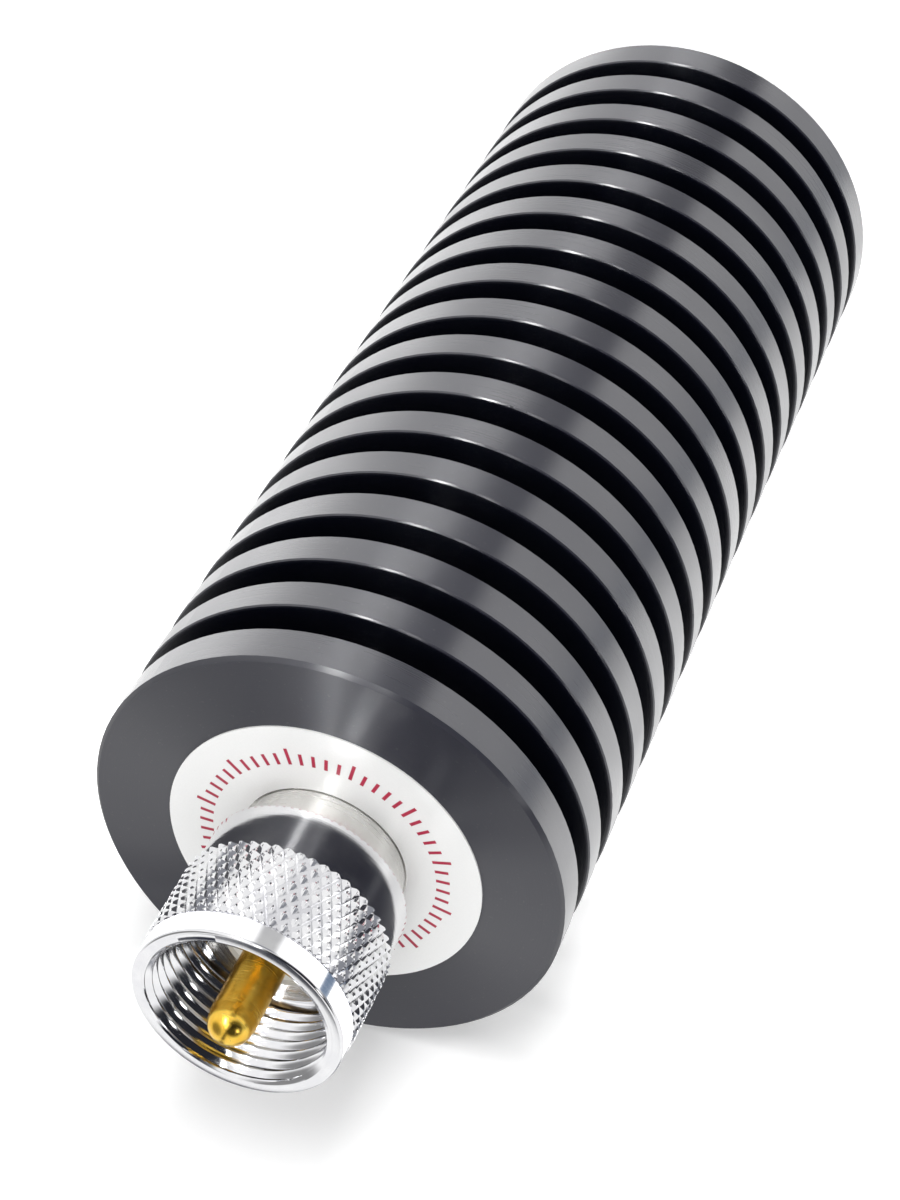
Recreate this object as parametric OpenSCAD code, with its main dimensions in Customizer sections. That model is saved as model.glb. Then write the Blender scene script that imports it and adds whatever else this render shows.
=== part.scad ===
// RF dummy load: a round finned heat sink with a UHF plug on its front face.
// The axis is +Z. The part stands on its rear face, and the plug points up.

/* [Heat sink] */
// Outside diameter of the fins and flanges
body_d = 42; // [40:0.5:60]
// Depth of the grooves between the fins
groove_depth = 6; // [3:0.25:6.5]
// Number of grooves
groove_count = 16; // [10:1:24]
// Width of one groove
groove_w = 3; // [2:0.1:5]
// Thickness of one fin
fin_t = 3.15; // [2:0.05:5]
// Thickness of the front flange
front_flange_t = 3.85; // [3.5:0.05:8]
// Thickness of the rear flange
rear_flange_t = 3.75; // [2:0.05:8]
// Edge break on the corners of the fins
fin_edge = 0.12; // [0.05:0.01:0.5]
// Chamfer round the front and rear faces
face_edge = 0.35; // [0.1:0.05:0.8]
// Diameter of the bore round the resistor
bore_d = 15; // [13:0.25:15.5]
// Metal left behind the bore
end_wall_t = 18; // [8:0.5:30]

/* [Connector shell] */
// Diameter of the collar behind the nut
neck_d = 14.6; // [13.6:0.1:17]
// Height of the collar above the front face
neck_h = 3.5; // [1.5:0.05:8]
// Outside diameter of the contact sleeve in the nut
sleeve_d = 12.4; // [11.6:0.1:13]
// Wall of the contact sleeve
sleeve_wall = 1.2; // [1:0.05:1.6]
// Length of sleeve in front of the snap ring
sleeve_land = 0.5; // [0.4:0.05:1.5]
// Thickness of the flange let into the heat sink
shell_flange_t = 3; // [2.6:0.05:3.3]
// Height of the two locating lugs on the sleeve's rim
lug_h = 0.6; // [0.3:0.05:1]
// Width of a locating lug
lug_w = 1.4; // [0.8:0.1:2.5]

/* [Coupling nut] */
// Major diameter of the coupling thread
thread_d = 15.875; // [15.2:0.005:17.5]
// Metal between the thread and the tips of the knurl
nut_wall = 1.3; // [1:0.05:2.5]
// Length of the nut, with its shoulder
nut_len = 14.85; // [14:0.05:24]
// Length of the plain shoulder behind the knurl
shoulder_h = 4.85; // [3:0.05:8]
// Diameter of the plain shoulder
shoulder_d = 17.6; // [15:0.05:18.4]
// Length of the smooth band at the nut's mouth
band_h = 2.35; // [1.2:0.05:4]
// Length of the lip, which the nut turns on, in front of the shoulder
lip_land = 1.2; // [0.8:0.05:2]
// Diamonds of the knurl round the nut
knurl_count = 54; // [36:1:72]
// Diamonds of the knurl along the nut
knurl_rows = 4; // [2:1:6]
// Depth of the knurl
knurl_depth = 0.36; // [0.15:0.01:0.5]
// Chamfers at the nut's ends
nut_edge = 0.25; // [0.1:0.05:0.4]
// Thickness of the snap ring that holds the nut
ring_t = 0.5; // [0.3:0.05:0.8]
// Distance that the snap ring stands proud of the sleeve
ring_proud = 0.6; // [0.3:0.05:1]
// Open gap of the snap ring
ring_gap = 2.5; // [1.5:0.1:5]

/* [Contact and insulators] */
// Diameter of the pin
pin_d = 3.96; // [3.6:0.02:4.4]
// Height of the pin's tip above the front face
pin_h = 21.3; // [18:0.1:26]
// Step on the pin at the front insulator's face
pin_step = 0.22; // [0.1:0.02:0.4]
// Length of the slight taper behind the round tip
pin_taper_h = 0.5; // [0.2:0.1:2]
// Radius that the pin loses over that taper
pin_taper = 0.08; // [0.02:0.01:0.4]
// Diameter of the collar held between the insulators
collar_d = 6; // [5:0.1:7]
// Thickness of that collar
collar_t = 1.5; // [1:0.1:2.5]
// Length of pin behind the flange
pin_tail = 4; // [3:0.1:7]
// Diameter of the head of the rear insulator
insulator_head_d = 16.4; // [16:0.1:16.8]
// Thickness of that head
insulator_head_t = 1; // [0.6:0.05:1.6]
// Depth of the front insulator's face behind the sleeve's rim
insulator_recess = 0.5; // [0.4:0.05:1.2]

/* [Resistor] */
// Diameter of the ceramic rod
rod_d = 6.5; // [5:0.1:8]
// Wall of the plated end caps
cap_wall = 0.6; // [0.4:0.05:1]
// Length of rod inside each cap
cap_grip = 4; // [2:0.1:8]
// Thickness of a cap's end
cap_end_t = 1.5; // [1:0.1:3]
// Diameter of the stud on the live cap
stud_d = 2.4; // [1.6:0.1:2.8]
// Wall of the ground collet
collet_wall = 1.6; // [1:0.1:2.2]
// Length of the ground collet
collet_len = 8; // [5:0.1:12]
// Width of the collet's slots
slot_w = 0.8; // [0.4:0.05:1.5]

/* [Screws and label] */
// Thread diameter of the flange screws
screw_d = 2.5; // [2:0.1:3]
// Head diameter of the flange screws
screw_head_d = 4.7; // [4:0.1:5.6]
// Length of the flange screws
screw_len = 8; // [6:0.5:14]
// Key size of the screws' hexagon sockets
screw_key = 1.5; // [1:0.1:2]
// Metal left beside the screw heads
screw_margin = 0.5; // [0.4:0.05:1.5]
// Thickness of the face label
label_t = 0.15; // [0.1:0.05:0.4]
// Width of the label past the flange's edge
label_lap = 1; // [0.5:0.1:2.5]

/* [Fits] */
// Radial clearance of the pieces that are fitted together
fit_gap = 0.05; // [0.02:0.01:0.1]
// Radial running clearance of the nut on the sleeve
run_gap = 0.07; // [0.02:0.01:0.1]
// Free play on each side of the nut's lip
nut_play = 0.15; // [0.1:0.01:0.3]
// Gap between the label and the collar
label_gap = 0.1; // [0.05:0.01:0.3]

/* [Hidden] */
$fn = 96;
// Overshoot of the cuts through a face
cut = 1;
screw_count = 4;
collet_slots = 4;
lug_count = 2;

// Heat sink
pitch = groove_w + fin_t;
face_z = rear_flange_t + groove_count * pitch - fin_t + front_flange_t;
root_d = body_d - 2 * groove_depth;

// Flange, with room for a screw head on each side of the neck
shell_flange_d = neck_d + 2 * (screw_head_d + 2 * screw_margin);
screw_pcd = (neck_d + shell_flange_d) / 2;
label_d = shell_flange_d + 2 * label_lap;

// Heights above the front face
lip_z = neck_h + nut_play;
lip_h = shoulder_h + lip_land;
ring_z = lip_z + lip_h + nut_play;
sleeve_top = ring_z + ring_t + 2 * fit_gap + sleeve_land;
insulator_top = sleeve_top - insulator_recess;
// The pin's collar sits halfway up the insulators
collar_z = insulator_top / 2;
tail_z = -shell_flange_t - pin_tail;

// Nut
nut_d = thread_d + 2 * nut_wall;
knurl_root_d = nut_d - 2 * knurl_depth;
band_d = knurl_root_d + knurl_depth;
knurl_h = nut_len - shoulder_h - band_h;
// The snap ring's groove takes half of the sleeve's wall
ring_seat_d = sleeve_d - sleeve_wall;

// Insulators and resistor
shank_d = pin_d + 2 * pin_step;
insulator_d = sleeve_d - 2 * sleeve_wall;
// The edge that stops the front insulator is half as wide as the sleeve's wall
stop_d = insulator_d - sleeve_wall;
cap_d = rod_d + 2 * fit_gap + 2 * cap_wall;
collet_d = cap_d + 2 * fit_gap + 2 * collet_wall;
collet_floor_t = cap_end_t;
slot_z = 2 * collet_floor_t;
rear_cap_z = end_wall_t + collet_floor_t;
rod_z = rear_cap_z + cap_end_t;
front_cap_z = face_z + tail_z;
rod_len = front_cap_z - cap_end_t - rod_z;

// Copies of its children on the flange's screw circle
module at_screws()
    for (i = [0 : screw_count - 1])
        rotate(360 / screw_count * (i + 0.5))
            translate([screw_pcd / 2, 0, 0])
                children();

// Countersunk screw, head up, with the head's top at z = 0 and the sides grown by gap
module countersunk(gap) {
    head_h = (screw_head_d - screw_d) / 2;
    translate([0, 0, -head_h])
        cylinder(d1 = screw_d + 2 * gap, d2 = screw_head_d + 2 * gap, h = head_h);
    translate([0, 0, -screw_len - gap])
        cylinder(d = screw_d + 2 * gap, h = screw_len + gap);
}

// Ring of a given height between two diameters
module ring(outer_d, inner_d, h)
    difference() {
        cylinder(d = outer_d, h = h);
        translate([0, 0, -cut])
            cylinder(d = inner_d, h = h + 2 * cut);
    }

// Half outline of the heat sink, from the rear face up
module fin_outline() {
    r = body_d / 2;
    grooves = [for (i = [0 : groove_count - 1])
        let (low = rear_flange_t + i * pitch, high = low + groove_w)
        each [[r, low - fin_edge], [r - fin_edge, low], [root_d / 2, low],
            [root_d / 2, high], [r - fin_edge, high], [r, high + fin_edge]]];
    polygon(concat(
        [[0, 0], [r - face_edge, 0], [r, face_edge]],
        grooves,
        [[r, face_z - face_edge], [r - face_edge, face_z], [0, face_z]]));
}

// Finned body, turned in one piece, with the flange's pocket, the bore and the tapped holes
module heat_sink()
    color("#2a2b2f")
        difference() {
            rotate_extrude()
                fin_outline();
            translate([0, 0, face_z - shell_flange_t])
                cylinder(d = shell_flange_d + 2 * fit_gap, h = shell_flange_t + cut);
            translate([0, 0, end_wall_t + collet_len])
                cylinder(d = bore_d, h = face_z - end_wall_t - collet_len);
            translate([0, 0, end_wall_t])
                cylinder(d = collet_d + 2 * fit_gap, h = collet_len + cut);
            translate([0, 0, face_z])
                at_screws()
                    countersunk(fit_gap);
        }

// Thin round label on the face, over the flange and its screws
module face_label()
    color("#e6e6e4")
        translate([0, 0, face_z])
            ring(label_d, neck_d + 2 * label_gap, label_t);

// Half outline of the shell: flange, collar, sleeve with the ring's groove, and the stepped bore
module shell_outline() {
    head_r = insulator_head_d / 2 + fit_gap;
    bore_r = insulator_d / 2 + fit_gap;
    low = -shell_flange_t;
    groove_top = ring_z + ring_t + 2 * fit_gap;
    polygon([
        [head_r, low], [shell_flange_d / 2, low], [shell_flange_d / 2, 0], [neck_d / 2, 0],
        [neck_d / 2, neck_h - nut_edge], [neck_d / 2 - nut_edge, neck_h], [sleeve_d / 2, neck_h],
        [sleeve_d / 2, ring_z], [ring_seat_d / 2, ring_z],
        [ring_seat_d / 2, groove_top], [sleeve_d / 2, groove_top],
        [sleeve_d / 2, sleeve_top], [stop_d / 2, sleeve_top], [stop_d / 2, insulator_top],
        [bore_r, insulator_top], [bore_r, low + insulator_head_t], [head_r, low + insulator_head_t]]);
}

// Turned body of the plug, with two locating lugs on the rim of its sleeve
module connector_shell()
    color("#c4c5c8")
        translate([0, 0, face_z]) {
            difference() {
                rotate_extrude()
                    shell_outline();
                at_screws()
                    countersunk(fit_gap);
            }
            translate([0, 0, sleeve_top])
                intersection() {
                    ring(sleeve_d, stop_d, lug_h);
                    for (i = [0 : lug_count - 1])
                        rotate(360 / lug_count * i)
                            translate([0, -lug_w / 2, 0])
                                cube([sleeve_d, lug_w, lug_h]);
                }
        }

// Four countersunk screws through the flange into the heat sink
module flange_screws()
    color("#8f9196")
        translate([0, 0, face_z])
            at_screws()
                difference() {
                    countersunk(0);
                    translate([0, 0, -screw_key / 2])
                        cylinder(d = screw_key / cos(30), h = screw_key, $fn = 6);
                }

// Round bar with a diamond knurl: a lattice of pyramids whose edges are the crossing grooves
module knurl(tip_r, root_r, h, count, rows) {
    cols = 2 * count;
    steps = 2 * rows;
    points = [for (n = [0 : steps]) for (m = [0 : cols - 1])
        let (inside = n > 0 && n < steps,
            r = inside && (m + n) % 2 == 0 ? tip_r : root_r,
            a = 360 * m / cols)
        [r * cos(a), r * sin(a), h * n / steps]];
    sides = [for (n = [0 : steps - 1]) for (m = [0 : cols - 1])
        let (next = (m + 1) % cols,
            a = n * cols + m, b = n * cols + next, c = a + cols, d = b + cols)
        each (m + n) % 2 == 0 ? [[a, c, b], [b, c, d]] : [[a, c, d], [a, d, b]]];
    bottom = [for (m = [0 : cols - 1]) m];
    top = [for (m = [cols - 1 : -1 : 0]) steps * cols + m];
    polyhedron(points, concat(sides, [bottom, top]));
}

// Half outline of the turned nut: plain shoulder, core of the knurl, smooth band at the mouth
module nut_core_outline() {
    rear_r = shoulder_d / 2;
    front_r = band_d / 2;
    core_r = knurl_root_d / 2 - nut_edge;
    band_z = nut_len - band_h;
    polygon([[0, 0], [rear_r - nut_edge, 0], [rear_r, nut_edge], [rear_r, shoulder_h], [core_r, shoulder_h],
        [core_r, band_z], [front_r, band_z], [front_r, nut_len - nut_edge], [front_r - nut_edge, nut_len],
        [0, nut_len]]);
}

// Half outline of the space inside the nut: lip bore, thread diameter and lead-in at the mouth
module nut_bore_outline() {
    lip_r = sleeve_d / 2 + run_gap;
    mouth_r = thread_d / 2 + nut_edge;
    polygon([[0, -cut], [lip_r, -cut], [lip_r, lip_h], [thread_d / 2, lip_h],
        [thread_d / 2, nut_len - nut_edge], [mouth_r, nut_len],
        [mouth_r, nut_len + cut], [0, nut_len + cut]]);
}

// Knurled nut that turns on the sleeve
module coupling_nut()
    color("#d3d4d6")
        translate([0, 0, face_z + lip_z])
            difference() {
                union() {
                    translate([0, 0, shoulder_h])
                        knurl(nut_d / 2, knurl_root_d / 2, knurl_h, knurl_count, knurl_rows);
                    rotate_extrude()
                        nut_core_outline();
                }
                rotate_extrude()
                    nut_bore_outline();
            }

// Open spring ring in the sleeve's groove, in front of the nut's lip
module nut_snap_ring()
    color("#a8782f")
        translate([0, 0, face_z + ring_z + fit_gap])
            difference() {
                ring(sleeve_d + 2 * ring_proud, ring_seat_d + 2 * fit_gap, ring_t);
                translate([0, -ring_gap / 2, -cut])
                    cube([sleeve_d, ring_gap, ring_t + 2 * cut]);
            }

// Half outline of the contact: shank with its collar, straight pin, taper and round tip
module pin_outline() {
    tip_r = pin_d / 2 - pin_taper;
    tip_z = pin_h - tip_r;
    polygon([[0, tail_z], [shank_d / 2, tail_z], [shank_d / 2, collar_z], [collar_d / 2, collar_z],
        [collar_d / 2, collar_z + collar_t], [shank_d / 2, collar_z + collar_t],
        [shank_d / 2, insulator_top], [pin_d / 2, insulator_top],
        [pin_d / 2, tip_z - pin_taper_h], [tip_r, tip_z], [0, tip_z]]);
    intersection() {
        translate([0, tip_z])
            circle(r = tip_r);
        translate([0, tip_z])
            square(tip_r);
    }
}

// Gold-plated inner contact, with a socket in its tail for the resistor's stud
module center_pin()
    color("#c9982f")
        translate([0, 0, face_z])
            difference() {
                rotate_extrude()
                    pin_outline();
                translate([0, 0, tail_z - cut])
                    cylinder(d = stud_d + 2 * fit_gap, h = pin_tail + cut);
            }

// Bead in front of the pin's collar, stopped by the sleeve's inner edge
module front_insulator()
    color("#ecebe6")
        translate([0, 0, face_z + collar_z])
            difference() {
                cylinder(d = insulator_d, h = insulator_top - collar_z);
                translate([0, 0, -cut])
                    cylinder(d = shank_d + 2 * fit_gap, h = insulator_top + cut);
                translate([0, 0, -cut])
                    cylinder(d = collar_d + 2 * fit_gap, h = collar_t + cut);
            }

// Bush behind the pin's collar; its head is held between the flange and the heat sink
module rear_insulator()
    color("#ecebe6")
        translate([0, 0, face_z - shell_flange_t])
            difference() {
                union() {
                    cylinder(d = insulator_head_d, h = insulator_head_t);
                    cylinder(d = insulator_d, h = shell_flange_t + collar_z);
                }
                translate([0, 0, -cut])
                    cylinder(d = shank_d + 2 * fit_gap, h = shell_flange_t + collar_z + 2 * cut);
            }

// Plated cup on one end of the rod, open upwards, with its end at z = 0
module end_cap()
    difference() {
        cylinder(d = cap_d, h = cap_end_t + cap_grip);
        translate([0, 0, cap_end_t])
            cylinder(d = rod_d + 2 * fit_gap, h = cap_grip + cut);
    }

// Live cap, with a stud into the pin's tail
module resistor_front_cap()
    color("#b9bcc0")
        translate([0, 0, front_cap_z]) {
            mirror([0, 0, 1])
                end_cap();
            cylinder(d = stud_d, h = pin_tail - fit_gap);
        }

// Ceramic rod with the resistance film
module resistor_rod()
    color("#4a3a34")
        translate([0, 0, rod_z])
            cylinder(d = rod_d, h = rod_len);

// Grounded cap
module resistor_rear_cap()
    color("#b9bcc0")
        translate([0, 0, rear_cap_z])
            end_cap();

// Slotted spring collet in the bottom of the bore
module ground_collet()
    color("#b07f35")
        translate([0, 0, end_wall_t])
            difference() {
                cylinder(d = collet_d, h = collet_len);
                translate([0, 0, collet_floor_t])
                    cylinder(d = cap_d + 2 * fit_gap, h = collet_len);
                for (i = [0 : collet_slots - 1])
                    rotate(360 / collet_slots * i)
                        translate([0, -slot_w / 2, slot_z])
                            cube([collet_d, slot_w, collet_len]);
            }

heat_sink();
face_label();
connector_shell();
flange_screws();
coupling_nut();
nut_snap_ring();
center_pin();
front_insulator();
rear_insulator();
resistor_front_cap();
resistor_rod();
resistor_rear_cap();
ground_collet();
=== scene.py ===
"""Looks of the RF dummy load: black anodised fins, a silver face label and a bright, knurled plug."""
import math

import bpy
from mathutils import Matrix, Vector


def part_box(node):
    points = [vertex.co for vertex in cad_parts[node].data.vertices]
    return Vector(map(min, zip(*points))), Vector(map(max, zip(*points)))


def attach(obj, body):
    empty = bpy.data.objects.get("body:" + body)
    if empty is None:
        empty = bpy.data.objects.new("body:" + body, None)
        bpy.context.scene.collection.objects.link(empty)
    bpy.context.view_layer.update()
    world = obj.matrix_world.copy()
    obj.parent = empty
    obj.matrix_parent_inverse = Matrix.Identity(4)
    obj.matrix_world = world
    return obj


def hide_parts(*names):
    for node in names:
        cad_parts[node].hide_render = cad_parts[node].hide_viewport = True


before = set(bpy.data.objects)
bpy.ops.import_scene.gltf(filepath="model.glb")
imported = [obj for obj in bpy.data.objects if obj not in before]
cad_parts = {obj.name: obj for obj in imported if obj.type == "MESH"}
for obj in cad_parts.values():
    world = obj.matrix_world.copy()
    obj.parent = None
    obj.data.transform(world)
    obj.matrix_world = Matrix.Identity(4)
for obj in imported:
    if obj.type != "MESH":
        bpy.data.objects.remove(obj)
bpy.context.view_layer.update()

# Sizes in millimetres, in the part's frame: the axis is Z and the rear face is at z = 0
MM = 0.001
TURN = 2 * math.pi
UP = Vector((0, 0, 1))
BODY_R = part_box("heat_sink")[1].x / MM
FACE_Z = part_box("heat_sink")[1].z / MM
NUT_REAR_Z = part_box("coupling_nut")[0].z / MM
NUT_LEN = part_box("coupling_nut")[1].z / MM - NUT_REAR_Z

# Coupling nut, with heights above its rear end: the wall is from the thread's roots to the knurl's tips
NUT_WALL = 1.3
NUT_EDGE = 0.25
EDGE_BREAK = 0.1
# Length beside an edge over which the shading settles, so that straight walls stay straight mirrors
EDGE_HOLD = 0.03
ROUND_STEPS = 6
SHARP_ANGLE = math.radians(28)

# Thread: the flat is the share of the pitch that is level at a crest, and at a root
THREAD_MAJOR_R = 15.875 / 2
THREAD_MINOR_R = 14.98 / 2
THREAD_PITCH = 25.4 / 24
THREAD_FLAT = 0.125
THREAD_STEPS = 10
# Plain bore between the lip and the last turn of the thread, and depth of the lead-in at the mouth
THREAD_RELIEF = 0.9
LEAD_IN = 0.3

# Shoulder and lip: the polishing leaves the shoulder a little thinner beside the knurl
SHOULDER_H = 4.85
SHOULDER_R = 17.6 / 2
SHOULDER_POLISH = 0.08
LIP_BORE_R = 6.27
LIP_PAST_SHOULDER = 1.2
LIP_H = SHOULDER_H + LIP_PAST_SHOULDER

# Knurl: diamonds round the nut, grid steps across one diamond, and steps along the whole knurl
KNURL_COUNT = 54
KNURL_STEPS = 8
KNURL_ROWS = 30
KNURL_DEPTH = 0.36
KNURL_ROOT_R = THREAD_MAJOR_R + NUT_WALL - KNURL_DEPTH
# Share of a diamond's height at which its tip is flattened
KNURL_TIP = 0.7
NUT_COLUMNS = KNURL_COUNT * KNURL_STEPS

# Band at the mouth, with a thin groove behind it and a bevel on its rear edge, both from the band's start
BAND_H = 2.35
BAND_Z = NUT_LEN - BAND_H
BAND_R = KNURL_ROOT_R + KNURL_DEPTH / 2
BAND_GROOVE_DEPTH = 0.02
BAND_GROOVE_FROM = 0.02
BAND_GROOVE_TO = 0.14
BAND_BEVEL = 0.06
BAND_BEVEL_FROM = 0.16
BAND_BEVEL_TO = 0.24

# View of the photograph: direction of the camera as seen from the part, roll, and what it looks at
VIEW_AZIMUTH = math.radians(23.396)
VIEW_ELEVATION = math.radians(45.211)
VIEW_ROLL = math.radians(150.839)
VIEW_AIM = Vector((1.062, 0.459, 69.401)) * MM
VIEW_DISTANCE = 252.558 * MM
VIEW_LENS = 82.404
VIEW_CLIP = 10 * MM
# Azimuth of the side that is uppermost in the photograph, where the part lies on its side
UPPER_AZIMUTH = math.radians(45)

# Range that most values of a noise are in
NOISE_LOW = 0.3
NOISE_HIGH = 0.7


def heading(azimuth, elevation=0.0):
    """Unit vector towards an azimuth, which is 0 at -Y and 90 degrees at +X, and an elevation."""
    flat = math.cos(elevation)
    return Vector((flat * math.sin(azimuth), -flat * math.cos(azimuth), math.sin(elevation)))


def grey(level):
    """A grey of one level."""
    return (level, level, level, 1)


# Shader helpers

def node(tree, kind, inputs=None, **settings):
    """A shader node with its settings, and with its inputs set to values or linked to sockets."""
    made = tree.nodes.new(kind)
    for name, value in settings.items():
        setattr(made, name, value)
    for key, value in (inputs or {}).items():
        if isinstance(value, bpy.types.NodeSocket):
            tree.links.new(value, made.inputs[key])
        else:
            made.inputs[key].default_value = value
    return made


def math_node(tree, operation, first, second=0.0, third=0.0):
    """Output of a Math node."""
    return node(tree, "ShaderNodeMath", {0: first, 1: second, 2: third}, operation=operation).outputs[0]


def span(tree, value, low, high, to_low=0.0, to_high=1.0, smooth=False):
    """A value taken from one range to another, and held at its ends."""
    kind = "SMOOTHSTEP" if smooth else "LINEAR"
    inputs = {"Value": value, "From Min": low, "From Max": high, "To Min": to_low, "To Max": to_high}
    return node(tree, "ShaderNodeMapRange", inputs, interpolation_type=kind).outputs["Result"]


def noise_span(tree, value, to_low, to_high):
    """A noise taken from its usual range to another one."""
    return span(tree, value, NOISE_LOW, NOISE_HIGH, to_low, to_high)


def blend_colour(tree, factor, first, second):
    """Mix of two colours; the Mix node has sockets of each kind, so its colour sockets go by number."""
    factor_in, first_in, second_in, colour_out = 0, 6, 7, 2
    inputs = {factor_in: factor, first_in: first, second_in: second}
    return node(tree, "ShaderNodeMix", inputs, data_type="RGBA").outputs[colour_out]


def noise(tree, vector=None, w=None, scale=1.0, detail=2.0, roughness=0.5):
    """Noise over a place, or along one value."""
    inputs = {"Scale": scale, "Detail": detail, "Roughness": roughness}
    if vector is None:
        return node(tree, "ShaderNodeTexNoise", {"W": w, **inputs}, noise_dimensions="1D").outputs[0]
    return node(tree, "ShaderNodeTexNoise", {"Vector": vector, **inputs}).outputs[0]


def new_material(name):
    """A material with a Principled shader: the material, its tree and the shader."""
    material = bpy.data.materials.new(name)
    material.use_nodes = True
    return material, material.node_tree, material.node_tree.nodes["Principled BSDF"]


def place_on_part(tree):
    """Place on the part, in millimetres."""
    coords = node(tree, "ShaderNodeTexCoord").outputs["Object"]
    inputs = {"Vector": coords, "Scale": 1 / MM}
    return node(tree, "ShaderNodeVectorMath", inputs, operation="SCALE").outputs[0]


def polar(tree, place):
    """Radius of a place, its angle round the axis and its height."""
    x, y, z = node(tree, "ShaderNodeSeparateXYZ", {0: place}).outputs
    squares = math_node(tree, "MULTIPLY_ADD", x, x, math_node(tree, "MULTIPLY", y, y))
    return math_node(tree, "SQRT", squares), math_node(tree, "ARCTAN2", y, x), z


def turned_lines(tree, radius, height, scale):
    """Fine lines of a lathe tool, round the axis on the flat faces and on the round ones."""
    path = math_node(tree, "ADD", radius, height)
    return noise(tree, w=path, scale=scale, detail=3.0, roughness=0.6)


def bump(tree, shader, height, depth):
    """Bump of a height, with its depth in millimetres."""
    made = node(tree, "ShaderNodeBump", {"Height": height, "Distance": depth * MM, "Strength": 1.0})
    tree.links.new(made.outputs[0], shader.inputs["Normal"])


def turned_sheen(tree, shader, amount):
    """Highlights stretched across the lines of a turned surface."""
    quarter_turn = 0.25
    tangent = node(tree, "ShaderNodeTangent", direction_type="RADIAL", axis="Z")
    tree.links.new(tangent.outputs[0], shader.inputs["Tangent"])
    shader.inputs["Anisotropic"].default_value = amount
    shader.inputs["Anisotropic Rotation"].default_value = quarter_turn


# Materials

def outer_skin(tree, radius, height):
    """1 on the rims of the fins and on the front face, with 0 elsewhere, and 1 on the front face alone."""
    rim_from, rim_full = 0.4, 0.1
    face_from, face_full = 0.5, 0.1
    on_rim = span(tree, radius, BODY_R - rim_from, BODY_R - rim_full)
    on_face = span(tree, height, FACE_Z - face_from, FACE_Z - face_full)
    return math_node(tree, "MAXIMUM", on_rim, on_face), on_face


def black_anodised():
    """Satin black of the dyed oxide: turned lines, uneven dye, and painted shade: the deep grooves get a
    near-black colour.
    """
    dye_dark, dye_light = (0.007, 0.0075, 0.015, 1), (0.012, 0.0125, 0.023, 1)
    # The groove colour is painted shade, darker than the dye on the fin rims and the face.
    dust, groove_painted_shade = (0.05, 0.05, 0.055, 1), (0.0015, 0.002, 0.005, 1)
    dust_from, dust_full = 0.66, 0.8
    groove_rough, fin_rough, face_rough = 0.1, 0.25, 0.36
    line_rough, patch_rough = 0.06, 0.05
    oxide_ior, sheen, line_depth = 2.0, 1.0, 0.0016
    material, tree, shader = new_material("black_anodised")
    place = place_on_part(tree)
    radius, _, height = polar(tree, place)
    lines = turned_lines(tree, radius, height, scale=9.0)
    patches = noise(tree, vector=place, scale=0.09, detail=3.0)
    specks = noise(tree, vector=place, scale=4.0)
    outer, on_face = outer_skin(tree, radius, height)
    skin = blend_colour(tree, patches, dye_dark, dye_light)
    dusty = blend_colour(tree, span(tree, specks, dust_from, dust_full), skin, dust)
    # Painted shade: fin flanks and groove floors, away from the rims and the face, take the near-black
    # groove colour.
    tree.links.new(blend_colour(tree, outer, groove_painted_shade, dusty), shader.inputs["Base Color"])
    over_groove = span(tree, on_face, 0.0, 1.0, fin_rough - groove_rough, face_rough - groove_rough)
    turned = math_node(tree, "MULTIPLY_ADD", over_groove, outer, groove_rough)
    uneven_lines = noise_span(tree, lines, 0.0, line_rough)
    uneven = math_node(tree, "ADD", uneven_lines, noise_span(tree, patches, 0.0, patch_rough))
    tree.links.new(math_node(tree, "ADD", turned, uneven), shader.inputs["Roughness"])
    shader.inputs["IOR"].default_value = oxide_ior
    turned_sheen(tree, shader, sheen)
    bump(tree, shader, lines, line_depth)
    return material


def printed_scale(tree, radius, angle):
    """1 on the ticks of a plain scale round the plug, and 0 beside them."""
    ticks, long_every = 60, 5
    low, high, long_high = 10.0, 11.2, 11.7
    half_width, soft = 0.16, 0.03
    step = TURN / ticks
    side = math_node(tree, "MULTIPLY", math_node(tree, "PINGPONG", angle, step / 2), radius)
    stroke = span(tree, side, half_width - soft, half_width + soft, 1.0, 0.0)
    from_long = math_node(tree, "PINGPONG", angle, long_every * step / 2)
    is_long = math_node(tree, "LESS_THAN", from_long, step / 2)
    top = span(tree, is_long, 0.0, 1.0, high, long_high)
    over_low = math_node(tree, "GREATER_THAN", radius, low)
    under_top = math_node(tree, "LESS_THAN", radius, top)
    return math_node(tree, "MULTIPLY", stroke, math_node(tree, "MULTIPLY", over_low, under_top))


def silver_label():
    """Silver foil with a plain printed scale of red ticks round the plug."""
    foil_dark, foil_light = (0.9, 0.9, 0.89, 1), (0.97, 0.97, 0.96, 1)
    tick_red = (0.42, 0.012, 0.05, 1)
    foil_shine, smooth, rough = 0.2, 0.28, 0.38
    sheen, grain_depth = 0.2, 0.0012
    material, tree, shader = new_material("silver_label")
    place = place_on_part(tree)
    radius, angle, _ = polar(tree, place)
    printed = printed_scale(tree, radius, angle)
    grain = noise(tree, vector=place, scale=6.0, detail=4.0)
    foil = blend_colour(tree, grain, foil_dark, foil_light)
    tree.links.new(blend_colour(tree, printed, foil, tick_red), shader.inputs["Base Color"])
    tree.links.new(span(tree, printed, 0.0, 1.0, foil_shine, 0.0), shader.inputs["Metallic"])
    tree.links.new(noise_span(tree, grain, smooth, rough), shader.inputs["Roughness"])
    turned_sheen(tree, shader, sheen)
    bump(tree, shader, grain, grain_depth)
    return material


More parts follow.
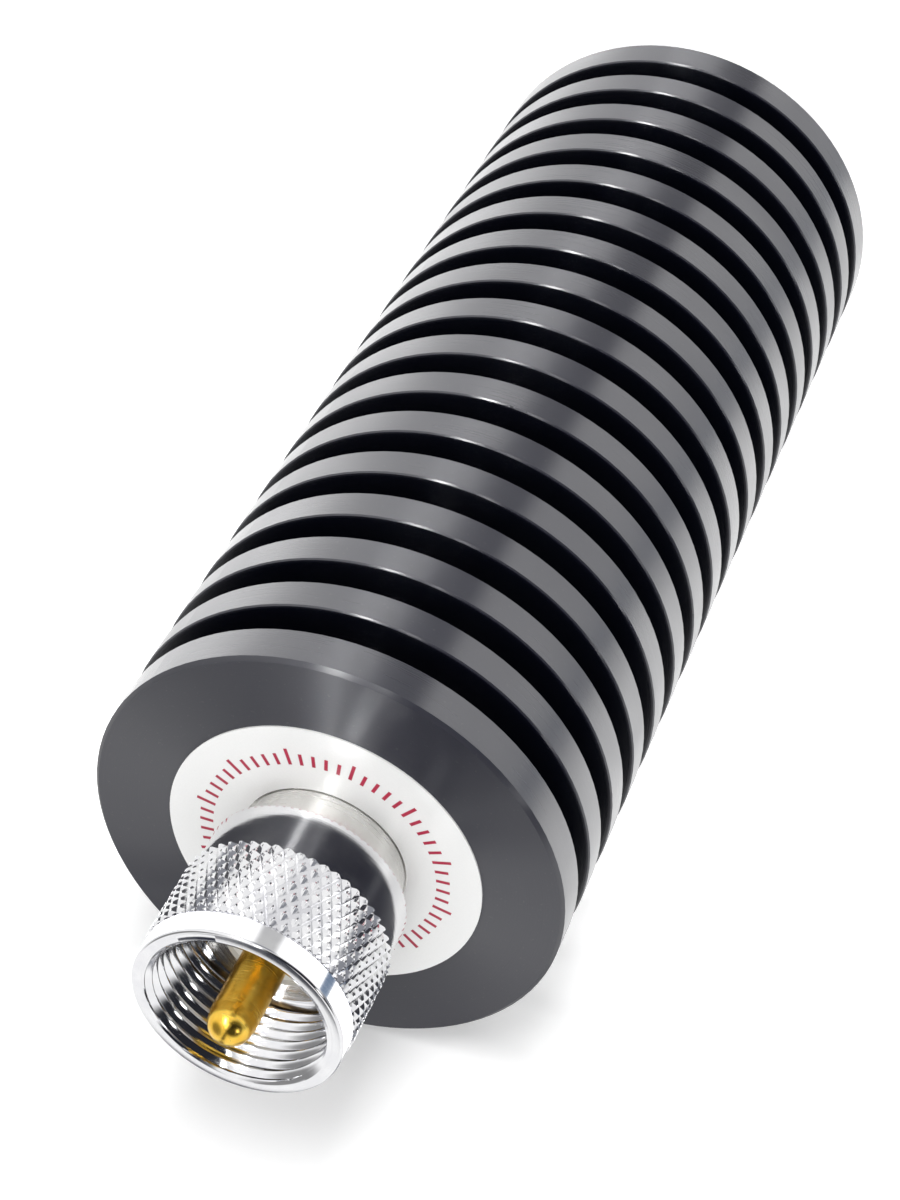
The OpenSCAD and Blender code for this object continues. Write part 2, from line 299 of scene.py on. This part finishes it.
def plated_metal(name, light, dark, smooth, rough, line_scale, line_depth):
    """Bright plating over a turned metal: tool lines, clouding and small marks."""
    cloud_from, cloud_full = 0.35, 0.65
    wear_from, wear_full = 0.1, 0.4
    material, tree, shader = new_material(name)
    place = place_on_part(tree)
    radius, _, height = polar(tree, place)
    lines = turned_lines(tree, radius, height, line_scale)
    clouds = noise(tree, vector=place, scale=0.5, detail=4.0)
    colour = blend_colour(tree, span(tree, clouds, cloud_from, cloud_full), dark, light)
    tree.links.new(colour, shader.inputs["Base Color"])
    wear = math_node(tree, "MULTIPLY", lines, clouds)
    tree.links.new(span(tree, wear, wear_from, wear_full, smooth, rough), shader.inputs["Roughness"])
    shader.inputs["Metallic"].default_value = 1.0
    bump(tree, shader, lines, line_depth)
    return material


def white_ptfe():
    """Waxy white plastic with faint turned lines."""
    ptfe_dark, ptfe_light = (0.78, 0.77, 0.73, 1), (0.86, 0.85, 0.82, 1)
    smooth, rough, line_depth = 0.35, 0.5, 0.004
    scatter_share, scatter_depth = 0.1, 0.6 * MM
    material, tree, shader = new_material("white_ptfe")
    place = place_on_part(tree)
    radius, _, height = polar(tree, place)
    lines = turned_lines(tree, radius, height, scale=6.0)
    clouds = noise(tree, vector=place, scale=0.8, detail=3.0)
    tree.links.new(blend_colour(tree, clouds, ptfe_dark, ptfe_light), shader.inputs["Base Color"])
    tree.links.new(noise_span(tree, lines, smooth, rough), shader.inputs["Roughness"])
    shader.inputs["Subsurface Weight"].default_value = scatter_share
    shader.inputs["Subsurface Radius"].default_value = (scatter_depth, scatter_depth, scatter_depth)
    bump(tree, shader, lines, line_depth)
    return material


def resistor_film():
    """Dull brown film on the ceramic rod, with a fine grain."""
    film_dark, film_light = (0.05, 0.03, 0.025, 1), (0.1, 0.07, 0.06, 1)
    smooth, rough, grain_depth = 0.55, 0.75, 0.01
    material, tree, shader = new_material("resistor_film")
    grain = noise(tree, vector=place_on_part(tree), scale=5.0, detail=4.0)
    tree.links.new(blend_colour(tree, grain, film_dark, film_light), shader.inputs["Base Color"])
    tree.links.new(noise_span(tree, grain, smooth, rough), shader.inputs["Roughness"])
    bump(tree, shader, grain, grain_depth)
    return material


def finish_nodes():
    """Gives each solid its finish."""
    bright = plated_metal("bright_plate", light=(0.86, 0.86, 0.87, 1), dark=(0.78, 0.78, 0.8, 1),
                          smooth=0.06, rough=0.14, line_scale=5.0, line_depth=0.0012)
    polished = plated_metal("polished_plate", light=(0.8, 0.79, 0.77, 1), dark=(0.7, 0.69, 0.67, 1),
                            smooth=0.2, rough=0.3, line_scale=4.0, line_depth=0.002)
    gold = plated_metal("gold_plate", light=(0.97, 0.65, 0.11, 1), dark=(0.86, 0.51, 0.06, 1),
                        smooth=0.2, rough=0.28, line_scale=6.0, line_depth=0.002)
    steel = plated_metal("screw_steel", light=(0.42, 0.42, 0.44, 1), dark=(0.3, 0.3, 0.32, 1),
                         smooth=0.25, rough=0.4, line_scale=6.0, line_depth=0.005)
    bronze = plated_metal("spring_bronze", light=(0.7, 0.47, 0.2, 1), dark=(0.55, 0.35, 0.14, 1),
                          smooth=0.25, rough=0.4, line_scale=6.0, line_depth=0.005)
    silver = plated_metal("silver_plate", light=(0.82, 0.81, 0.78, 1), dark=(0.7, 0.69, 0.65, 1),
                          smooth=0.2, rough=0.35, line_scale=6.0, line_depth=0.005)
    ptfe = white_ptfe()
    looks = {
        "heat_sink": black_anodised(),
        "face_label": silver_label(),
        "connector_shell": polished,
        "flange_screws": steel,
        "coupling_nut": bright,
        "nut_snap_ring": bronze,
        "center_pin": gold,
        "front_insulator": ptfe,
        "rear_insulator": ptfe,
        "resistor_front_cap": silver,
        "resistor_rod": resistor_film(),
        "resistor_rear_cap": silver,
        "ground_collet": bronze,
    }
    for name, material in looks.items():
        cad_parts[name].data.materials.clear()
        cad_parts[name].data.materials.append(material)
    return looks


# Coupling nut with its diamond knurl and its thread

def triangle_wave(x):
    """0 at whole numbers and 1 halfway between them."""
    return 1 - abs(2 * (x % 1) - 1)


def knurl_radius(column, row):
    """Radius on the knurl at a grid point: two crossing sets of V grooves between flattened pyramids."""
    one = triangle_wave((column + row) / KNURL_STEPS)
    other = triangle_wave((column - row) / KNURL_STEPS)
    share = min(one, other, KNURL_TIP) / KNURL_TIP
    return KNURL_ROOT_R + KNURL_DEPTH * share


def thread_radius(place, height):
    """Radius of the bore at a place along the thread, counted in turns, and at a height."""
    rise = (triangle_wave(place) - THREAD_FLAT) / (1 - 2 * THREAD_FLAT)
    radius = THREAD_MAJOR_R - (THREAD_MAJOR_R - THREAD_MINOR_R) * min(max(rise, 0.0), 1.0)
    mouth_r = THREAD_MAJOR_R + NUT_EDGE / 2
    lead_in = mouth_r - (mouth_r - THREAD_MINOR_R) * (NUT_LEN - height) / LEAD_IN
    return max(radius, lead_in)


def plain_ring(radius, z):
    """A ring with one radius and one height all round."""
    return [(radius, z)] * NUT_COLUMNS


def round_edge(radius, end, inwards):
    """Points round the nut's outer edge, from an end face at a height to the wall at a radius."""
    points = []
    for step in range(ROUND_STEPS + 1):
        turn = TURN / 4 * step / ROUND_STEPS
        r = radius - NUT_EDGE * (1 - math.sin(turn))
        points.append((r, end + inwards * NUT_EDGE * (1 - math.cos(turn))))
    return points + [(radius, end + inwards * (NUT_EDGE + EDGE_HOLD))]


def shoulder_rings():
    """Rings from the lip's bore over the nut's rear end and the polished shoulder to the knurl."""
    polished_r = SHOULDER_R - SHOULDER_POLISH
    front = SHOULDER_H - EDGE_BREAK
    return [
        plain_ring(LIP_BORE_R, EDGE_BREAK),
        plain_ring(LIP_BORE_R + EDGE_BREAK, 0.0),
        *(plain_ring(r, z) for r, z in round_edge(SHOULDER_R, 0.0, 1)),
        plain_ring(polished_r, front - EDGE_HOLD),
        plain_ring(polished_r, front),
        plain_ring(KNURL_ROOT_R, SHOULDER_H - EDGE_BREAK / 2),
    ]


def knurl_rings():
    """Rings over the diamonds, from the shoulder to the band."""
    rings = []
    for row in range(KNURL_ROWS + 1):
        z = SHOULDER_H + (BAND_Z - SHOULDER_H) * row / KNURL_ROWS
        rings.append([(knurl_radius(column, row), z) for column in range(NUT_COLUMNS)])
    return rings


def band_rings():
    """Rings from the thin groove behind the band over the band to the mouth."""
    groove_r = KNURL_ROOT_R - BAND_GROOVE_DEPTH
    return [
        plain_ring(groove_r, BAND_Z + BAND_GROOVE_FROM),
        plain_ring(groove_r, BAND_Z + BAND_GROOVE_TO),
        plain_ring(BAND_R - BAND_BEVEL, BAND_Z + BAND_BEVEL_FROM),
        plain_ring(BAND_R, BAND_Z + BAND_BEVEL_TO),
        plain_ring(BAND_R, BAND_Z + BAND_BEVEL_TO + EDGE_HOLD),
        *(plain_ring(r, z) for r, z in reversed(round_edge(BAND_R, NUT_LEN, -1))),
    ]


def thread_rings(bottom):
    """Rings that follow the thread from the mouth down to a height."""
    step = THREAD_PITCH / THREAD_STEPS
    rows = math.ceil((NUT_LEN - bottom) / step) + THREAD_STEPS
    rings = []
    for row in range(rows + 1):
        ring = []
        for column in range(NUT_COLUMNS):
            shift = THREAD_STEPS * column / NUT_COLUMNS
            z = min(max(NUT_LEN + THREAD_PITCH - (row + shift) * step, bottom), NUT_LEN)
            ring.append((thread_radius(z / THREAD_PITCH + column / NUT_COLUMNS, z), z))
        rings.append(ring)
    return rings


def bore_rings(top):
    """Rings of the plain bore below the thread, and of the lip's front face."""
    return [
        plain_ring(THREAD_MAJOR_R, top),
        plain_ring(THREAD_MAJOR_R, LIP_H + EDGE_BREAK),
        plain_ring(THREAD_MAJOR_R - EDGE_BREAK, LIP_H),
        plain_ring(LIP_BORE_R + EDGE_BREAK, LIP_H),
        plain_ring(LIP_BORE_R, LIP_H - EDGE_BREAK),
    ]


def knurl_split(column, row):
    """Which diagonal of a knurl cell is a groove or a ridge: 1 for rising, -1 for falling, 0 for none."""
    half = KNURL_STEPS // 2
    if (column + row + 1) % half == 0:
        return -1
    return 1 if (column - row) % half == 0 else 0


def nut_faces(ring_count, first_knurl):
    """Faces between the rings, the last ring joined to the first, and whether each face is on the knurl."""
    faces, on_knurl = [], []
    for ring in range(ring_count):
        low, high = ring * NUT_COLUMNS, (ring + 1) % ring_count * NUT_COLUMNS
        knurled = first_knurl <= ring < first_knurl + KNURL_ROWS
        for column in range(NUT_COLUMNS):
            after = (column + 1) % NUT_COLUMNS
            a, b, c, d = low + column, low + after, high + after, high + column
            split = knurl_split(column, ring - first_knurl) if knurled else 0
            made = [(a, b, c, d)]
            if split == 1:
                made = [(a, b, c), (a, c, d)]
            if split == -1:
                made = [(a, b, d), (b, c, d)]
            faces += made
            on_knurl += [knurled] * len(made)
    return faces, on_knurl


def build_nut(material):
    """The nut, in place of its plainer solid, with flat faces on the knurl and smooth ones elsewhere."""
    thread_end = LIP_H + THREAD_RELIEF
    rear = shoulder_rings()
    rings = rear + knurl_rings() + band_rings() + thread_rings(thread_end) + bore_rings(thread_end)
    verts = []
    for ring in rings:
        for column, (radius, z) in enumerate(ring):
            angle = TURN * column / NUT_COLUMNS
            x, y = radius * math.cos(angle), radius * math.sin(angle)
            verts.append((x * MM, y * MM, (NUT_REAR_Z + z) * MM))
    faces, on_knurl = nut_faces(len(rings), len(rear))
    mesh = bpy.data.meshes.new("knurled_coupling_nut")
    mesh.from_pydata(verts, [], faces)
    for polygon, is_flat in zip(mesh.polygons, on_knurl):
        polygon.use_smooth = not is_flat
    mesh.set_sharp_from_angle(angle=SHARP_ANGLE)
    mesh.materials.append(material)
    nut = bpy.data.objects.new("knurled_coupling_nut", mesh)
    bpy.context.scene.collection.objects.link(nut)
    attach(nut, "nut")
    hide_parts("coupling_nut")


# Stage

def ray_kinds(tree):
    """Whether a ray comes from the camera, and whether it shows the background in gloss or glass."""
    path = node(tree, "ShaderNodeLightPath").outputs
    shine = math_node(tree, "MAXIMUM", path["Is Glossy Ray"], path["Is Transmission Ray"])
    return path["Is Camera Ray"], shine


def pale_surface(name, own_white, far_white, one_sided):
    """White paper that keeps the shadows: a part of its white is its own, and doesn't light the part.

    The own white goes from one level at the plug's end of a standing sheet to another level further down; a
    higher far level is painted light, which washes out the part's shadow away from the plug.
    """
    change_share = 0.7
    change_from, change_to = change_share * FACE_Z * MM, FACE_Z * MM
    paper_dark, paper_light, fibre_scale = grey(0.84), grey(0.88), 300.0
    material, tree, shader = new_material(name)
    tree.nodes.remove(shader)
    seen, shine = ray_kinds(tree)
    place = node(tree, "ShaderNodeTexCoord").outputs["Object"]
    up_sheet = node(tree, "ShaderNodeSeparateXYZ", {0: place}).outputs[1]
    # Painted light where the two levels differ: the sheet's own white rises away from the plug's end.
    white = span(tree, up_sheet, change_from, change_to, far_white, own_white, smooth=True)
    fibres = noise(tree, vector=place, scale=fibre_scale)
    paper_colour = blend_colour(tree, fibres, paper_dark, paper_light)
    paper = node(tree, "ShaderNodeBsdfDiffuse", {"Color": paper_colour})
    own = math_node(tree, "MULTIPLY", math_node(tree, "MAXIMUM", seen, shine), white)
    glow = node(tree, "ShaderNodeEmission", {"Color": grey(1.0), "Strength": own})
    surface = node(tree, "ShaderNodeAddShader", {0: paper.outputs[0], 1: glow.outputs[0]}).outputs[0]
    if one_sided:
        behind = node(tree, "ShaderNodeNewGeometry").outputs["Backfacing"]
        clear = node(tree, "ShaderNodeBsdfTransparent").outputs[0]
        surface = node(tree, "ShaderNodeMixShader", {0: behind, 1: surface, 2: clear}).outputs[0]
    tree.links.new(surface, tree.nodes["Material Output"].inputs["Surface"])
    return material


def paper_sheet(name, placing, material):
    """A square sheet of the stage, in metres, which gives no shadow and isn't seen in gloss."""
    half = 3.0
    corners = [(-half, -half, 0), (half, -half, 0), (half, half, 0), (-half, half, 0)]
    mesh = bpy.data.meshes.new(name)
    mesh.from_pydata(corners, [], [(0, 1, 2, 3)])
    mesh.materials.append(material)
    sheet = bpy.data.objects.new(name, mesh)
    sheet.matrix_world = placing
    sheet.visible_glossy = False
    sheet.visible_shadow = False
    bpy.context.scene.collection.objects.link(sheet)
    return sheet


def build_stage():
    """Floor under the part, and a backdrop along its lower side as the photograph has it."""
    floor_paper = pale_surface("floor_paper", own_white=0.64, far_white=0.64, one_sided=False)
    paper_sheet("floor", Matrix.Identity(4), floor_paper)
    upper = heading(UPPER_AZIMUTH)
    side = upper.cross(UP)
    placing = Matrix((-side, UP, upper)).transposed().to_4x4()
    placing.translation = -upper * BODY_R * MM
    # Painted light: the backdrop's own white rises from 0.22 at the plug's end to 0.72 further down, fading
    # the part's shadow there.
    backdrop_paper = pale_surface("backdrop_paper", own_white=0.22, far_white=0.72, one_sided=True)
    backdrop = paper_sheet("backdrop", placing, backdrop_paper)
    backdrop.visible_diffuse = False


# Room that gloss shows: azimuths are in degrees from the camera's, and a level of 1 is white

def azimuth_strip(tree, azimuth, centre, half, soft):
    """1 in a strip of azimuths, fading to 0 over its soft edges."""
    offset = math_node(tree, "SUBTRACT", azimuth, VIEW_AZIMUTH + math.radians(centre))
    away = math_node(tree, "ABSOLUTE", math_node(tree, "WRAP", offset, math.pi, -math.pi))
    return span(tree, away, math.radians(half - soft), math.radians(half + soft), 1.0, 0.0, smooth=True)


def strip(tree, value, centre, half, soft):
    """1 where a value is near a centre, fading to 0 over its soft edges."""
    away = math_node(tree, "ABSOLUTE", math_node(tree, "SUBTRACT", value, centre))
    return span(tree, away, half - soft, half + soft, 1.0, 0.0, smooth=True)


def share_along(tree, direction, axis):
    """Share of a direction along an axis."""
    inputs = {0: direction, 1: axis}
    return node(tree, "ShaderNodeVectorMath", inputs, operation="DOT_PRODUCT").outputs["Value"]


def round_zone(tree, direction, azimuth, elevation, half, soft):
    """1 in a round zone of directions, fading to 0 over its soft edge."""
    middle = heading(VIEW_AZIMUTH + math.radians(azimuth), math.radians(elevation))
    edges = math.cos(math.radians(half + soft)), math.cos(math.radians(half - soft))
    return span(tree, share_along(tree, direction, middle), *edges, smooth=True)


def low_panels(tree, azimuth):
    """Bright panels low round the part, which the fins show, with dark gaps between them."""
    room = grey(2.0)
    # Centre, half width and soft edge of each stretch that has a colour of its own
    stretches = (
        (130.0, 42.0, 20.0, grey(4.6)),
        (-130.0, 40.0, 16.0, grey(3.8)),
        (186.0, 12.0, 6.0, grey(0.4)),
        (7.0, 14.0, 6.0, grey(0.6)),
        (-70.0, 7.0, 1.5, (0.2, 0.27, 0.38, 1)),
    )
    for centre, half, soft, colour in stretches:
        room = blend_colour(tree, azimuth_strip(tree, azimuth, centre, half, soft), room, colour)
    return room


def skirting(tree, azimuth):
    """White strip level with the part, with grey gaps over those of the panels and one more."""
    room, gap_colour, soft = grey(1.03), (0.28, 0.29, 0.32, 1), 4.0
    # Centre and half width of each gap
    for centre, half in ((7.0, 12.0), (-70.0, 9.0), (186.0, 14.0), (-145.0, 8.0)):
        room = blend_colour(tree, azimuth_strip(tree, azimuth, centre, half, soft), room, gap_colour)
    return room


def far_doorway(tree, direction, rise):
    """1 in a narrow opening on the far side of the part, apart from a window across it."""
    towards = share_along(tree, direction, heading(VIEW_AZIMUTH))
    sideways = share_along(tree, direction, heading(VIEW_AZIMUTH + TURN / 4))
    far_full, far_from = -0.05, 0.15
    rise_from, rise_full = 0.1, 0.3
    far_side = span(tree, towards, far_full, far_from, 1.0, 0.0)
    beyond = math_node(tree, "MULTIPLY", far_side, span(tree, rise, rise_from, rise_full))
    opening = math_node(tree, "MULTIPLY", beyond, strip(tree, sideways, centre=-0.04, half=0.1, soft=0.03))
    window = strip(tree, rise, centre=0.56, half=0.08, soft=0.015)
    return math_node(tree, "MULTIPLY", opening, math_node(tree, "SUBTRACT", 1.0, window))


def light_tube(tree, direction):
    """1 on a thin tube of light high over the camera."""
    sideways = share_along(tree, direction, heading(VIEW_AZIMUTH + TURN / 4))
    line = strip(tree, sideways, centre=0.15, half=0.02, soft=0.008)
    zone = round_zone(tree, direction, azimuth=0.0, elevation=60.0, half=15.0, soft=3.0)
    return math_node(tree, "MULTIPLY", line, zone)


def tall_lamp(tree, direction, azimuth):
    """1 on a narrow, upright lamp beside the camera."""
    line = azimuth_strip(tree, azimuth, centre=36.0, half=2.5, soft=1.0)
    zone = round_zone(tree, direction, azimuth=36.0, elevation=39.0, half=13.0, soft=3.0)
    return math_node(tree, "MULTIPLY", line, zone)


def gloss_room(tree, direction):
    """What gloss shows: panels low round the part, a skirting, pale walls, dark places and lamps."""
    x, y, rise = node(tree, "ShaderNodeSeparateXYZ", {0: direction}).outputs
    azimuth = math_node(tree, "ARCTAN2", x, math_node(tree, "MULTIPLY", y, -1.0))
    over_panels = span(tree, rise, low=-0.57, high=-0.49, smooth=True)
    over_skirting = span(tree, rise, low=0.06, high=0.2, smooth=True)
    pale_wall = grey(1.1)
    walls = blend_colour(tree, over_skirting, skirting(tree, azimuth), pale_wall)
    room = blend_colour(tree, over_panels, low_panels(tree, azimuth), walls)
    dim_corner = round_zone(tree, direction, azimuth=120.0, elevation=45.0, half=24.0, soft=8.0)
    dark_corner = round_zone(tree, direction, azimuth=-45.0, elevation=48.0, half=40.0, soft=6.0)
    small_lamp = round_zone(tree, direction, azimuth=-67.0, elevation=38.0, half=4.0, soft=1.5)
    furnishings = (
        (far_doorway(tree, direction, rise), (0.03, 0.033, 0.05, 1)),
        (dim_corner, grey(0.28)),
        (dark_corner, (0.02, 0.021, 0.027, 1)),
        (light_tube(tree, direction), grey(14.0)),
        (tall_lamp(tree, direction, azimuth), grey(45.0)),
        (small_lamp, grey(8.0)),
    )
    for zone, colour in furnishings:
        room = blend_colour(tree, zone, room, colour)
    return room


# Light and camera

def background(tree, colour, strength):
    """Output of a Background node."""
    return node(tree, "ShaderNodeBackground", {"Color": colour, "Strength": strength}).outputs[0]


def build_world():
    """White studio: white to the camera, a soft plain light on the part, and the room in its gloss."""
    soft_light = 0.42
    world = bpy.data.worlds.new("studio")
    bpy.context.scene.world = world
    world.use_nodes = True
    tree = world.node_tree
    tree.nodes.clear()
    seen, shine = ray_kinds(tree)
    direction = node(tree, "ShaderNodeTexCoord").outputs["Generated"]
    room = background(tree, gloss_room(tree, direction), 1.0)
    plain = background(tree, grey(1.0), soft_light)
    white = background(tree, grey(1.0), 1.0)
    lit = node(tree, "ShaderNodeMixShader", {0: shine, 1: plain, 2: room}).outputs[0]
    shown = node(tree, "ShaderNodeMixShader", {0: seen, 1: lit, 2: white}).outputs[0]
    node(tree, "ShaderNodeOutputWorld", {"Surface": shown})


def softbox(name, azimuth, elevation, distance, width, height, level):
    """A lamp box that looks at the part, with lengths in metres; its level is the white of its own face."""
    lamp = bpy.data.lights.new(name, "AREA")
    lamp.shape = "RECTANGLE"
    lamp.size = width
    lamp.size_y = height
    lamp.energy = level * math.pi * width * height
    box = bpy.data.objects.new(name, lamp)
    direction = heading(math.radians(azimuth), math.radians(elevation))
    middle = Vector((0, 0, FACE_Z / 2 * MM))
    box.location = middle + direction * distance
    box.rotation_euler = direction.to_track_quat("Z", "Y").to_euler()
    box.visible_glossy = False
    bpy.context.scene.collection.objects.link(box)


def build_lights():
    """A tall key light beside the camera and a broad one over the part."""
    softbox("key", azimuth=40, elevation=16, distance=0.8, width=0.25, height=0.6, level=8.0)
    softbox("top", azimuth=20, elevation=75, distance=0.9, width=0.8, height=0.8, level=2.5)


def build_camera():
    """Camera of the photograph's view, rolled so that the part lies as it does there."""
    back = heading(VIEW_AZIMUTH, VIEW_ELEVATION)
    level_right = heading(VIEW_AZIMUTH + TURN / 4)
    level_up = back.cross(level_right)
    up = level_up * math.cos(VIEW_ROLL) + level_right * math.sin(VIEW_ROLL)
    right = up.cross(back)
    camera = bpy.data.objects.new("camera", bpy.data.cameras.new("camera"))
    camera.data.lens = VIEW_LENS
    camera.data.clip_start = VIEW_CLIP
    placing = Matrix((right, up, back)).transposed().to_4x4()
    placing.translation = VIEW_AIM + back * VIEW_DISTANCE
    camera.matrix_world = placing
    bpy.context.scene.collection.objects.link(camera)
    bpy.context.scene.camera = camera


bpy.context.scene.view_settings.view_transform = "Standard"
looks = finish_nodes()
build_nut(looks["coupling_nut"])
build_stage()
build_world()
build_lights()
build_camera()
